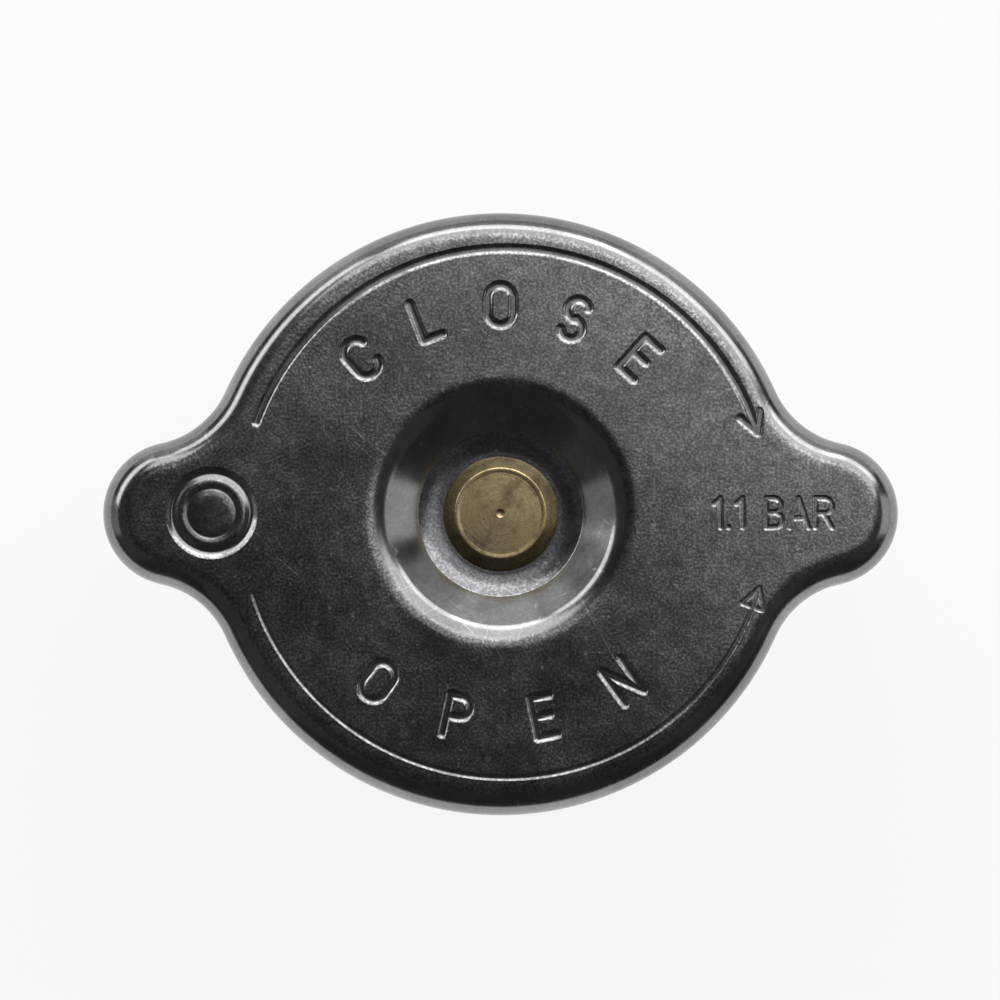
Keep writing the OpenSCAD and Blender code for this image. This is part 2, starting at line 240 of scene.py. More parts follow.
@dataclass(frozen=True)
class PlatedSteel(Finish):
    """Worn dark plating over pressed steel, with fine grain and scuffs."""

    name: str = "worn_plating"
    slot: Slot = Slot.PLATED_STEEL
    dark: Colour = (0.125, 0.126, 0.129, 1.0)
    pale: Colour = (0.42, 0.42, 0.425, 1.0)
    heat_tint: Colour = (0.235, 0.22, 0.265, 1.0)
    heat: float = 0.22
    roughness: float = 0.15
    relief: float = 0.003
    dish_edge: Pair = (8.7, 8.4)
    top_edge: Pair = (28.95, 29.12)
    rim_head: Pair = (29.0, 28.5)
    rim_foot: Pair = (26.0, 27.2)
    scratch_turns: tuple[float, ...] = (23, -41, 68, 117)
    scratch_size: Triple = (6.0, 0.2, 2.0)
    scratch_patch: Triple = (9.0, 9.0, 9.0)

    def dress(self, tree: ShaderTree) -> None:
        """Grain, scuffs and fine lines on a metal base."""
        at = tree.place()
        in_dish = tree.radius(at).ramp(*self.dish_edge)
        struck = tree.height(at).ramp(*self.top_edge) + in_dish
        grain = tree.noise(at, 3.6, 1.0, 0.5).ramp(0.36, 0.72) - 0.42
        mottle = tree.noise(at, 0.75, 3.0, 0.6).ramp(0.3, 0.7) - 0.5
        cloud = tree.noise(at, 0.12, 4.0, 0.62).ramp(0.3, 0.7)
        lines = self.hairlines(tree, at)
        nicks = tree.noise(at, 1.3, 0.0).ramp(0.75, 0.80) * struck
        rubbed = self.rubbed(tree, at)
        uneven = cloud * 0.5 + 0.75
        coarse = struck * 0.8 - in_dish * 0.1 + 0.2
        speckle = (grain * 0.6 + mottle * 0.3) * uneven * coarse
        marks = nicks * 0.4 + lines * 0.2 + rubbed * 0.2
        tone = speckle + (cloud - 0.5) * 0.32 + marks + 0.45
        colour = tree.blend(tone, self.dark, self.pale)
        tree.surface({
            "Base Color": tree.blend(in_dish * self.heat, colour, self.heat_tint),
            "Metallic": 1.0,
            "Roughness": self.roughness + struck * 0.03 + cloud * 0.05 + rubbed * 0.1,
            "Normal": tree.bump(speckle - nicks + lines * 0.6, self.relief),
        })

    def rubbed(self, tree: ShaderTree, at: Signal) -> Signal:
        """Patches along the rounded rim where the plating is worn.

        Args:
            tree: the material's tree.
            at: place on the piece.

        Returns:
            1 where it is worn and 0 outside.
        """
        height = tree.height(at)
        on_rim = height.ramp(*self.rim_head) * height.ramp(*self.rim_foot)
        return tree.noise(at, 0.8, 5.0, 0.7).ramp(0.60, 0.70) * on_rim

    def hairlines(self, tree: ShaderTree, at: Signal) -> Signal:
        """Fine scratches in a few directions.

        Args:
            tree: the material's tree.
            at: place on the piece.

        Returns:
            1 in a scratch and 0 outside.
        """
        total: Number = 0.0
        for turn in self.scratch_turns:
            drawn = tree.noise(tree.stretched(at, turn, self.scratch_size), 1.0, 0.0)
            patches = tree.noise(tree.stretched(at, turn, self.scratch_patch), 1.0, 0.0)
            total = drawn.ramp(0.76, 0.84) * patches.ramp(0.5, 0.65) + total
        return total


@dataclass(frozen=True)
class TurnedBrass(Finish):
    """Turned brass with lathe marks and brown tarnish."""

    name: str = "tarnished_brass"
    slot: Slot = Slot.BRASS
    bright: Colour = (0.66, 0.52, 0.285, 1.0)
    tarnish: Colour = (0.20, 0.148, 0.09, 1.0)
    roughness: float = 0.22
    relief: float = 0.012

    def dress(self, tree: ShaderTree) -> None:
        """Rings from the lathe under patches of tarnish."""
        at = tree.place()
        radius = tree.radius(at)
        wobble = tree.noise(at, 0.5, 2.0)
        lathe = tree.node("ShaderNodeCombineXYZ", None, {0: radius, 1: 0.0, 2: wobble * 0.8})
        rings = tree.noise(lathe, 4.0, 2.0, 0.6)
        patch = tree.noise(at, 0.5, 3.0, 0.6)
        specks = tree.noise(at, 2.6, 3.0, 0.65)
        stain = patch.ramp(0.42, 0.66) * 0.75 + specks.ramp(0.5, 0.72) * 0.4
        tree.surface({
            "Base Color": tree.blend(stain, self.bright, self.tarnish),
            "Metallic": 1.0,
            "Roughness": self.roughness + stain * 0.12 + rings * 0.06,
            "Normal": tree.bump(rings * 0.7 + specks * 0.3, self.relief),
        })


@dataclass(frozen=True)
class RolledSteel(Finish):
    """Thin rolled or drawn steel with soft marks from its making."""

    name: str = "tinned_sheet"
    slot: Slot = Slot.TINNED_STEEL
    base: Colour = (0.60, 0.58, 0.53, 1.0)
    stain: Colour = (0.42, 0.38, 0.31, 1.0)
    roughness: float = 0.28
    relief: float = 0.012
    mark_size: Triple = (2.5, 2.5, 0.17)

    def dress(self, tree: ShaderTree) -> None:
        """Drawing marks round the axis and faint staining."""
        at = tree.place()
        cloud = tree.noise(at, 0.22, 4.0, 0.6)
        drawn = tree.noise(tree.stretched(at, 0.0, self.mark_size), 1.0, 2.0)
        grain = tree.noise(at, 3.0, 2.0)
        stain = cloud.ramp(0.45, 0.75) * 0.6 + grain.ramp(0.6, 0.75) * 0.15
        tree.surface({
            "Base Color": tree.blend(stain, self.base, self.stain),
            "Metallic": 1.0,
            "Roughness": self.roughness + cloud * 0.12 + drawn * 0.06,
            "Normal": tree.bump(drawn * 0.6 + grain * 0.4, self.relief),
        })


@dataclass(frozen=True)
class MouldedRubber(Finish):
    """Black moulded rubber with a dusty bloom."""

    name: str = "black_rubber"
    slot: Slot = Slot.RUBBER
    base: Colour = (0.018, 0.018, 0.019, 1.0)
    bloom: Colour = (0.06, 0.058, 0.055, 1.0)
    roughness: float = 0.62
    relief: float = 0.02

    def dress(self, tree: ShaderTree) -> None:
        """Fine grain with cloudy bloom."""
        at = tree.place()
        cloud = tree.noise(at, 0.35, 4.0, 0.6)
        grain = tree.noise(at, 5.0, 2.0)
        tree.surface({
            "Base Color": tree.blend(cloud.ramp(0.4, 0.8) * 0.8, self.base, self.bloom),
            "Metallic": 0.0,
            "Roughness": self.roughness + cloud * 0.2 + grain * 0.08,
            "Normal": tree.bump(grain, self.relief),
        })


PLATING = PlatedSteel()
BRASS = TurnedBrass()
TINNED = RolledSteel()
SPRING = RolledSteel(
    name="spring_steel", slot=Slot.SPRING_STEEL, base=(0.44, 0.45, 0.47, 1.0),
    stain=(0.27, 0.26, 0.25, 1.0), roughness=0.24,
)
RUBBER = MouldedRubber()


# Shapes


@dataclass(frozen=True)
class Corner:
    """A corner of a section: distance from the axis or outline, height and fillet radius."""

    x: float
    z: float
    fillet: float = 0.0


def corners(*rows: Sequence[float]) -> list[Corner]:
    """Corners from rows of distance, height and, where there is one, fillet radius."""
    return [Corner(*row) for row in rows]


def sheet_section(face: Sequence[Corner], thickness: float, cut_edge: float = 0.2) -> list[Corner]:
    """Closed section of a bent sheet.

    Args:
        face: corners of one face in order.
        thickness: sheet thickness, to the right of that direction.
        cut_edge: fillet on the sheet's two cut edges.

    Returns:
        Corners of the whole outline, with the other face's fillets to match.
    """
    points = [Vector((c.x, c.z)) for c in face]
    runs = [(b - a).normalized() for a, b in zip(points, points[1:])]
    other = []
    for i, corner in enumerate(face):
        before = runs[max(i - 1, 0)]
        after = runs[min(i, len(runs) - 1)]
        sides = [Vector((run.y, -run.x)) for run in (before, after)]
        middle = (sides[0] + sides[1]).normalized()
        offset = points[i] + middle * (thickness / middle.dot(sides[0]))
        turn = before.x * after.y - before.y * after.x
        fillet = corner.fillet + math.copysign(thickness, turn) if corner.fillet else 0.0
        other.append(Corner(offset.x, offset.y, max(fillet, 0.0)))
    outline = list(face) + other[::-1]
    ends = {0, len(face) - 1, len(face), len(outline) - 1}
    return [Corner(c.x, c.z, cut_edge) if i in ends else c for i, c in enumerate(outline)]


def verts_of(geom: Iterable) -> list[bmesh.types.BMVert]:
    """The vertices among some parts of a mesh."""
    return [g for g in geom if isinstance(g, bmesh.types.BMVert)]


def edges_of(geom: Iterable) -> list[bmesh.types.BMEdge]:
    """The edges among some parts of a mesh."""
    return [g for g in geom if isinstance(g, bmesh.types.BMEdge)]


def polar(angle: float, radius: float = 1.0) -> Vector:
    """A level vector by its angle from X, in degrees, and its length."""
    turn = math.radians(angle)
    return Vector((radius * math.cos(turn), radius * math.sin(turn), 0))


class Workpiece:
    """A mesh in the making, in millimetres, with the longest edge wanted in a fillet."""

    fineness = 0.3

    def __init__(self) -> None:
        """Starts empty."""
        self.bm = bmesh.new()

    def wire(self, section: Sequence[Corner], closed: bool, segments: int = 8) -> list:
        """Draws a section in the XZ plane with its corners rounded.

        Args:
            section: the corners in order.
            closed: whether the last corner joins the first.
            segments: most edges in a fillet.

        Returns:
            The section's vertices and edges.
        """
        verts = [self.bm.verts.new((c.x, 0.0, c.z)) for c in section]
        count = len(verts)
        for i in range(count if closed else count - 1):
            self.bm.edges.new((verts[i], verts[(i + 1) % count]))
        made = set(verts)
        for i, corner in enumerate(section):
            if corner.fillet <= 0.0:
                continue
            here = Vector((corner.x, corner.z))
            last, following = section[i - 1], section[(i + 1) % count]
            before = Vector((last.x, last.z)) - here
            after = Vector((following.x, following.z)) - here
            opening = before.angle(after)
            setback = corner.fillet / math.tan(opening / 2)
            needed = math.ceil((math.pi - opening) * corner.fillet / self.fineness)
            rounded = bmesh.ops.bevel(
                self.bm, geom=[verts[i]], offset=setback, offset_type="OFFSET",
                segments=min(max(needed, 2), segments), profile=0.5, affect="VERTICES", material=-1,
            )
            made.update(rounded["verts"])
        verts = [v for v in made if v.is_valid]
        edges = {e for v in verts for e in v.link_edges}
        return verts + list(edges)

    def turn(
        self, geom: Iterable, angle: float, steps: int,
        about: Sequence[float] = (0, 0), rise: float = 0.0,
    ) -> list:
        """Sweeps wires round an upright axis.

        Args:
            geom: vertices and edges to sweep.
            angle: angle in degrees, anticlockwise from above.
            steps: segments.
            about: place of the axis.
            rise: height gained over the sweep.

        Returns:
            The swept wires at the far end.
        """
        full = abs(angle) >= FULL_TURN and not rise
        done = bmesh.ops.spin(
            self.bm, geom=list(geom), cent=(about[0], about[1], 0.0), axis=UP,
            dvec=UP * (rise / steps), angle=math.radians(angle), steps=steps,
            use_merge=full, use_duplicate=False,
        )
        wires = (bmesh.types.BMVert, bmesh.types.BMEdge)
        return [g for g in done["geom_last"] if isinstance(g, wires)]

    def run(self, geom: Iterable, by: Vector) -> list:
        """Sweeps wires along a straight line.

        Args:
            geom: vertices and edges to sweep.
            by: the way to go.

        Returns:
            The swept wires at the far end.
        """
        done = bmesh.ops.extrude_edge_only(self.bm, edges=edges_of(geom))["geom"]
        verts = verts_of(done)
        bmesh.ops.translate(self.bm, verts=verts, vec=by)
        ends = set(verts)
        return verts + [e for e in edges_of(done) if set(e.verts) <= ends]

    def close(self) -> None:
        """Joins doubled vertices, drops what has no area and turns every face outwards."""
        bmesh.ops.remove_doubles(self.bm, verts=self.bm.verts, dist=MERGE)
        bmesh.ops.dissolve_degenerate(self.bm, edges=self.bm.edges, dist=MERGE / 10)
        bmesh.ops.recalc_face_normals(self.bm, faces=self.bm.faces)

    def move(self, matrix: Matrix) -> None:
        """Moves the whole mesh."""
        bmesh.ops.transform(self.bm, matrix=matrix, verts=self.bm.verts)

    def rough(self, name: str) -> bpy.types.Object:
        """Makes an object in millimetres, for cutting.

        Args:
            name: the object's name.

        Returns:
            The new object, linked to no scene.
        """
        mesh = bpy.data.meshes.new(name)
        self.bm.to_mesh(mesh)
        self.bm.free()
        return bpy.data.objects.new(name, mesh)


def cut(target: bpy.types.Object, tools: Sequence[bpy.types.Object], operation: str) -> None:
    """Cuts tools out of a rough object, or joins them to it.

    Args:
        target: the object to change.
        tools: closed meshes, which are used up.
        operation: DIFFERENCE or UNION.
    """
    collection = bpy.data.collections.new("tools")
    bpy.context.scene.collection.children.link(collection)
    bpy.context.scene.collection.objects.link(target)
    for tool in tools:
        collection.objects.link(tool)
    modifier = target.modifiers.new("cut", "BOOLEAN")
    modifier.operation = operation
    modifier.operand_type = "COLLECTION"
    modifier.collection = collection
    modifier.solver = "EXACT"
    depsgraph = bpy.context.evaluated_depsgraph_get()
    result = bpy.data.meshes.new_from_object(target.evaluated_get(depsgraph))
    target.modifiers.clear()
    spent = target.data
    target.data = result
    bpy.data.meshes.remove(spent)
    bpy.context.scene.collection.objects.unlink(target)
    for tool in tools:
        mesh = tool.data
        bpy.data.objects.remove(tool)
        bpy.data.meshes.remove(mesh)
    bpy.data.collections.remove(collection)


def hand_over(piece: bpy.types.Object, finish: Finish, body: Body, *nodes: str) -> bpy.types.Object:
    """Finishes a rough object: metres, shading, material and the body that it rides on.

    Args:
        piece: the rough object, in millimetres.
        finish: its finish.
        body: the body that carries it.
        nodes: the CAD nodes that it stands for.

    Returns:
        The piece.
    """
    mesh = piece.data
    mesh.transform(Matrix.Scale(MM, 4))
    mesh.shade_smooth()
    mesh.set_sharp_from_angle(angle=SMOOTH_BELOW)
    mesh.materials.clear()
    mesh.materials.append(finish.material())
    bpy.context.scene.collection.objects.link(piece)
    weighted = piece.modifiers.new("flat_faces", "WEIGHTED_NORMAL")
    weighted.mode = "FACE_AREA_WITH_ANGLE"
    weighted.keep_sharp = True
    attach(piece, body.value)
    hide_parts(*nodes)
    log.info("%s: %d faces on %s", piece.name, len(mesh.polygons), body.value)
    return piece


@dataclass
class Turning:
    """A piece that is turned from one section."""

    name: str
    node: str
    body: Body
    finish: Finish
    section: Sequence[Corner]
    closed: bool = True
    steps: int = 144
    segments: int = 6

    def build(self) -> bpy.types.Object:
        """Turns the section through a full circle.

        Returns:
            The finished piece.
        """
        work = Workpiece()
        work.turn(work.wire(self.section, self.closed, self.segments), FULL_TURN, self.steps)
        work.close()
        return hand_over(self.shape(work.rough(self.name)), self.finish, self.body, self.node)

    def shape(self, rough: bpy.types.Object) -> bpy.types.Object:
        """Leaves the turned shape as it is."""
        return rough


# Stamped marks


@dataclass(frozen=True)
class Bar:
    """A straight stroke between two points."""

    start: Pair
    end: Pair


@dataclass(frozen=True)
class Arc:
    """A round stroke, anticlockwise between two angles in degrees."""

    centre: Pair
    radius: float
    low: float
    high: float


Stroke = Union[Bar, Arc]


@dataclass(frozen=True)
class Glyph:
    """A letter or figure of height 1 made of strokes."""

    width: float
    strokes: tuple[Stroke, ...]


# Radius of a letter's upper bowl
BOWL = 0.26
GLYPHS = {
    "C": Glyph(0.62, (
        Arc((0.31, 0.69), 0.31, 18, 180), Bar((0, 0.69), (0, 0.31)),
        Arc((0.31, 0.31), 0.31, 180, 342),
    )),
    "L": Glyph(0.50, (Bar((0, 1), (0, 0)), Bar((0, 0), (0.50, 0)))),
    "O": Glyph(0.64, (
        Arc((0.32, 0.68), 0.32, 0, 180), Bar((0, 0.68), (0, 0.32)),
        Arc((0.32, 0.32), 0.32, 180, 360), Bar((0.64, 0.32), (0.64, 0.68)),
    )),
    "S": Glyph(0.56, (
        Arc((0.28, 0.735), 0.265, 25, 262), Arc((0.28, 0.245), 0.265, -158, 82),
        Bar((0.24, 0.475), (0.32, 0.505)),
    )),
    "E": Glyph(0.50, (
        Bar((0, 1), (0, 0)), Bar((0, 0), (0.50, 0)),
        Bar((0, 0.52), (0.43, 0.52)), Bar((0, 1), (0.50, 1)),
    )),
    "P": Glyph(0.56, (
        Bar((0, 1), (0, 0)), Bar((0, 1), (0.30, 1)),
        Arc((0.30, 0.74), BOWL, -90, 90), Bar((0.30, 0.48), (0, 0.48)),
    )),
    "N": Glyph(0.58, (Bar((0, 0), (0, 1)), Bar((0, 1), (0.58, 0)), Bar((0.58, 0), (0.58, 1)))),
    "1": Glyph(0.24, (Bar((0.22, 0), (0.22, 1)), Bar((0.22, 1), (0, 0.80)))),
    ".": Glyph(0.04, (Bar((0.02, 0), (0.02, 0.01)),)),
    "B": Glyph(0.54, (
        Bar((0, 0), (0, 1)), Bar((0, 1), (0.26, 1)),
        Arc((0.26, 0.755), 0.245, -90, 90), Bar((0.26, 0.51), (0, 0.51)),
        Arc((0.28, 0.255), 0.255, -90, 90), Bar((0, 0), (0.28, 0)),
    )),
    "A": Glyph(0.66, (
        Bar((0, 0), (0.33, 1)), Bar((0.33, 1), (0.66, 0)), Bar((0.12, 0.32), (0.54, 0.32)),
    )),
    "R": Glyph(0.56, (
        Bar((0, 0), (0, 1)), Bar((0, 1), (0.30, 1)),
        Arc((0.30, 0.74), BOWL, -90, 90), Bar((0.30, 0.48), (0, 0.48)),
        Bar((0.28, 0.48), (0.56, 0)),
    )),
    " ": Glyph(0.30, ()),
}


# Half of a punch's nose, from its middle outwards: shares of its half width and of its depth
NOSE = (
    (0.0, 1.0), (0.34, 1.0), (0.48, 0.92), (0.66, 0.66),
    (0.84, 0.32), (1.0, 0.10), (1.12, 0.02), (1.2, -0.12),
)


@dataclass(frozen=True)
class Punch:
    """The nose of a stamping punch: groove width and depth in millimetres."""

    width: float
    depth: float
    clear: float = 0.6
    end_steps: int = 12
    step: float = 0.22
    least_steps: int = 8

    def cutters(self, strokes: Iterable[Stroke], place: Matrix, scale: float) -> Cutters:
        """One cutter for each stroke of a mark."""
        return [self.cutter(stroke, place, scale) for stroke in strokes]

    def cutter(self, stroke: Stroke, place: Matrix, scale: float) -> bpy.types.Object:
        """Sweeps the nose round one stroke.

        Args:
            stroke: the stroke, in its glyph's units.
            place: where the glyph goes, in millimetres.
            scale: millimetres to a glyph's unit.

        Returns:
            A closed mesh that cuts the stroke.
        """
        work = Workpiece()
        if isinstance(stroke, Bar):
            start = Vector(stroke.start).to_3d() * scale
            end = Vector(stroke.end).to_3d() * scale
            along = end - start
            nose = self.draw(work, start, along.cross(UP).normalized())
            nose = work.run(nose, along)
            nose = work.turn(nose, HALF_TURN, self.end_steps, end)
            nose = work.run(nose, -along)
        else:
            centre = Vector(stroke.centre).to_3d() * scale
            angle = stroke.high - stroke.low
            out = [polar(a) for a in (stroke.low, stroke.high)]
            start, end = (centre + o * stroke.radius * scale for o in out)
            length = math.radians(angle) * stroke.radius * scale
            steps = max(self.least_steps, round(length / self.step))
            nose = self.draw(work, start, out[0])
            nose = work.turn(nose, angle, steps, centre)
            nose = work.turn(nose, HALF_TURN, self.end_steps, end)
            nose = work.turn(nose, -angle, steps, centre)
        work.turn(nose, HALF_TURN, self.end_steps, start)
        work.close()
        work.move(place)
        return work.rough("punch")

    def draw(self, work: Workpiece, start: Vector, side: Vector) -> list:
        """Draws half of the nose beside a stroke's start, and back above the sheet.

        Args:
            work: the mesh in the making.
            start: the stroke's start.
            side: the way to the stroke's right.

        Returns:
            The section's vertices and edges.
        """
        half = self.width / 2
        nose = [(half * x, -self.depth * share) for x, share in NOSE]
        nose += [(nose[-1][0], self.clear), (0.0, self.clear)]
        verts = [work.bm.verts.new(start + side * x + UP * z) for x, z in nose]
        return verts + [work.bm.edges.new(pair) for pair in zip(verts, verts[1:])]


@dataclass
class Stamping:
    """Words, arrows and figures pressed into the flat top."""

    top: float
    letter_punch: Punch = Punch(1.0, 0.175)
    arrow_punch: Punch = Punch(1.0, 0.15, step=0.5)
    fine_punch: Punch = Punch(0.62, 0.10)
    cap_height: float = 4.1
    word_in: float = 19.25
    arrow_r: float = 27.1
    arrow_shift: float = 0.5
    closing_arc: Pair = (17.5, 160.0)
    opening_arc: Pair = (198.0, 343.5)
    wing: float = 4.4
    spread: float = 1.15

    def word_on_arc(self, word: str, middle: float, pitch: float, upright: bool) -> Cutters:
        """Cutters for a word round the cap.

        Args:
            word: the word.
            middle: angle of its middle, in degrees.
            pitch: angle between letters.
            upright: True if the letters' tops point outwards.

        Returns:
            One cutter for each stroke.
        """
        tools = []
        for i, letter in enumerate(word):
            glyph = GLYPHS[letter]
            step = pitch * (i - (len(word) - 1) / 2)
            angle = middle - step if upright else middle + step
            foot = self.word_in if upright else self.word_in + self.cap_height
            turn = angle - 90 if upright else angle + 90
            corner = (-glyph.width * self.cap_height / 2, foot if upright else -foot, 0)
            place = (
                Matrix.Translation((0, 0, self.top))
                @ Matrix.Rotation(math.radians(turn), 4, "Z")
                @ Matrix.Translation(corner)
            )
            tools += self.letter_punch.cutters(glyph.strokes, place, self.cap_height)
        return tools

    def line_of_text(self, text: str, centre: Pair, height: float, gap: float) -> Cutters:
        """Cutters for a short straight line of figures and letters.

        Args:
            text: the characters.
            centre: middle of the line.
            height: height of a capital.
            gap: space between characters, as a share of the height.

        Returns:
            One cutter for each stroke.
        """
        width = sum(GLYPHS[c].width for c in text) + gap * (len(text) - 1)
        x = centre[0] - width * height / 2
        tools = []
        for letter in text:
            place = Matrix.Translation((x, centre[1] - height / 2, self.top))
            tools += self.fine_punch.cutters(GLYPHS[letter].strokes, place, height)
            x += (GLYPHS[letter].width + gap) * height
        return tools

    def head(self, tip: float, wing: float) -> tuple[Bar, Bar]:
        """The two wings of an arrowhead, from its tip to an angle behind it.

        Args:
            tip: angle of the tip on the arrows' circle, in degrees.
            wing: angle from the tip to the wings' ends.

        Returns:
            The outer wing and the inner one.
        """
        point = tuple(polar(tip, self.arrow_r).xy)
        radii = (self.arrow_r + self.spread, self.arrow_r - self.spread)
        outer, inner = (Bar(point, tuple(polar(tip + wing, r).xy)) for r in radii)
        return outer, inner

    def arrows(self) -> Cutters:
        """Cutters for the two long arrows.

        Returns:
            One cutter for each stroke.
        """
        place = Matrix.Translation((self.arrow_shift, 0, self.top))
        closing = (
            Arc((0, 0), self.arrow_r, *self.closing_arc),
            *self.head(self.closing_arc[0], self.wing),
        )
        outer, inner = self.head(self.opening_arc[1] - FULL_TURN, -self.wing)
        opening = (
            Arc((0, 0), self.arrow_r, *self.opening_arc),
            outer,
            inner,
            Bar(inner.end, outer.end),
        )
        thin = Punch(self.fine_punch.width, self.fine_punch.depth, step=self.arrow_punch.step)
        return self.arrow_punch.cutters(closing, place, 1.0) + thin.cutters(opening, place, 1.0)

    def tools(self) -> Cutters:
        """Every cutter of the stamping.

        Returns:
            Closed meshes in millimetres.
        """
        return (
            self.word_on_arc("CLOSE", middle=90.0, pitch=21.0, upright=True)
            + self.word_on_arc("OPEN", middle=270.0, pitch=24.0, upright=False)
            + self.line_of_text("1.1 BAR", centre=(27.9, 0.0), height=3.0, gap=0.24)
            + self.arrows()
        )


# Pieces


@dataclass
class PressedShell:
    """The eared shell: skirt, rounded rim, flat top with its stamping, dish and locking tangs."""

    body_r: float = 31.0
    ear_x: float = 33.5
    ear_r: float = 7.4
    blend_r: float = 9.5
    sheet: float = 1.0
    edge_r: float = 3.0
    top: float = 29.15
    skirt: float = 16.65
    lead: float = 0.4
    over: float = 1.0
    hole_r: float = 3.05
    hole_edge: float = 0.15
    dish_r: float = 13.9
    dish_lip_r: float = 4.0
    dish_floor: float = 25.55
    floor_flat_r: float = 6.15
    floor_rise: float = 0.5
    bow_share: float = 0.95
    crease_r: float = 8.5
    crease_soft: float = 0.35
    tang_in: float = 26.2
    tang_bend: float = 1.6
    tang_angle: float = 38.0
    tang_relief: float = 2.0
    tang_skin: float = 0.04
    tang_root: float = 0.4
    tang_steps: int = 48
    medal_x: float = -29.6
    medal_steps: int = 72
    medal_relief: tuple[Pair, ...] = (
        (0.0, 0.09), (1.6, 0.10), (2.2, 0.12), (2.35, 0.16), (2.5, 0.19), (2.65, 0.16),
        (2.85, 0.10), (3.2, 0.09), (3.4, 0.12), (3.6, 0.20), (3.8, 0.29), (3.95, 0.34),
        (4.1, 0.34), (4.25, 0.28), (4.45, 0.16), (4.65, 0.05), (4.8, -0.02),
    )
    step: float = 0.6
    edge_segments: int = 10
    dish_segments: int = 8
    tang_segments: int = 6

    def build(self) -> bpy.types.Object:
        """Presses the shell and stamps it.

        Returns:
            The finished piece.
        """
        work = Workpiece()
        quarter = self.rim(work)
        self.dish(work, 4 * quarter)
        self.flat_top(work)
        work.close()
        rough = work.rough("pressed_shell")
        stamps = Stamping(self.top).tools()
        cut(rough, stamps + [self.medal()] + self.notches(), "DIFFERENCE")
        cut(rough, self.tangs(), "UNION")
        return hand_over(rough, PLATING, Body.SHELL, "cap_shell")

    def rim(self, work: Workpiece) -> int:
        """Sweeps the sheet's section round the outline of the body and its ears.

        Args:
            work: the mesh in the making.

        Returns:
            Segments in a quarter of the outline.
        """
        inside = self.edge_r + self.lead
        face = corners((-inside, self.top), (0, self.top, self.edge_r), (0, self.skirt))
        section = self.open_ends(sheet_section(face, self.sheet))
        tip = self.ear_x + self.ear_r
        section = [Corner(tip + c.x, c.z, c.fillet) for c in section]
        wire = work.wire(section, False, self.edge_segments)
        to_blend = self.body_r + self.blend_r
        across = self.ear_r + self.blend_r
        blend_x = (to_blend ** 2 - across ** 2 + self.ear_x ** 2) / (2 * self.ear_x)
        blend = (blend_x, math.sqrt(to_blend ** 2 - blend_x ** 2))
        ear_turn = math.degrees(math.atan2(blend[1], blend[0] - self.ear_x))
        body_from = math.degrees(math.atan2(blend[1], blend[0]))
        legs = (
            (ear_turn, self.ear_r, (self.ear_x, 0.0)),
            (body_from - ear_turn, self.blend_r, blend),
            (90.0 - body_from, self.body_r, (0.0, 0.0)),
        )
        segments = 0
        for angle, radius, centre in legs:
            steps = round(abs(math.radians(angle)) * radius / self.step)
            wire = work.turn(wire, angle, steps, centre)
            segments += steps
        for axis in "YX":
            bmesh.ops.mirror(
                work.bm, geom=work.bm.verts[:] + work.bm.edges[:] + work.bm.faces[:],
                matrix=Matrix.Identity(4), merge_dist=MERGE, axis=axis,
            )
        bmesh.ops.remove_doubles(work.bm, verts=work.bm.verts, dist=MERGE)
        return segments

    @staticmethod
    def open_ends(section: Sequence[Corner]) -> list[Corner]:
        """Leaves the first and last corner of a section sharp, to join the flat top."""
        ends = [Corner(c.x, c.z) for c in (section[0], section[-1])]
        return [ends[0], *section[1:-1], ends[1]]

    def dish(self, work: Workpiece, steps: int) -> None:
        """Turns the dish with the rivet's hole in its floor.

        Args:
            work: the mesh in the making.
            steps: segments in the full turn.
        """
        crease_z = self.dish_floor + self.floor_rise
        drop = self.top - crease_z
        run, fall = self.dish_r - self.crease_r, drop - self.dish_lip_r
        wall = math.atan2(fall, run) + math.asin(self.dish_lip_r / math.hypot(run, fall))
        floor_run = self.crease_r - self.floor_flat_r
        bow_r = (floor_run ** 2 + self.floor_rise ** 2) / (2 * self.floor_rise)
        knee = self.floor_flat_r + bow_r * math.tan(math.asin(floor_run / bow_r) / 2)
        face = corners(
            (self.hole_r, self.dish_floor),
            (knee, self.dish_floor, bow_r * self.bow_share),
            (self.crease_r, crease_z, self.crease_soft),
            (self.crease_r + drop / math.tan(wall), self.top, self.dish_lip_r),
            (self.dish_r + self.lead, self.top),
        )
        section = sheet_section(face, self.sheet, self.hole_edge)
        joined = len(face)
        section = self.open_ends(section[joined:] + section[:joined])
        work.turn(work.wire(section, False, self.dish_segments), FULL_TURN, steps)

    def flat_top(self, work: Workpiece) -> None:
        """Joins the dish to the rim, above and below the sheet.

        Args:
            work: the mesh in the making.
        """
        for height in (self.top, self.top - self.sheet):
            level = {v for v in work.bm.verts if abs(v.co.z - height) < MERGE}
            edges = [e for e in work.bm.edges if e.is_boundary and level.issuperset(e.verts)]
            bmesh.ops.bridge_loops(work.bm, edges=edges)

    def medal(self) -> bpy.types.Object:
        """Cutter that leaves a blank disc with plain rings.

        Returns:
            A closed mesh in millimetres.
        """
        work = Workpiece()
        over = self.top + self.over
        section = [Corner(r, self.top - depth) for r, depth in self.medal_relief]
        section += [Corner(section[-1].x, over), Corner(0, over)]
        work.turn(work.wire(section, False), FULL_TURN, self.medal_steps)
        work.close()
        work.move(Matrix.Translation((self.medal_x, 0, 0)))
        return work.rough("medal")

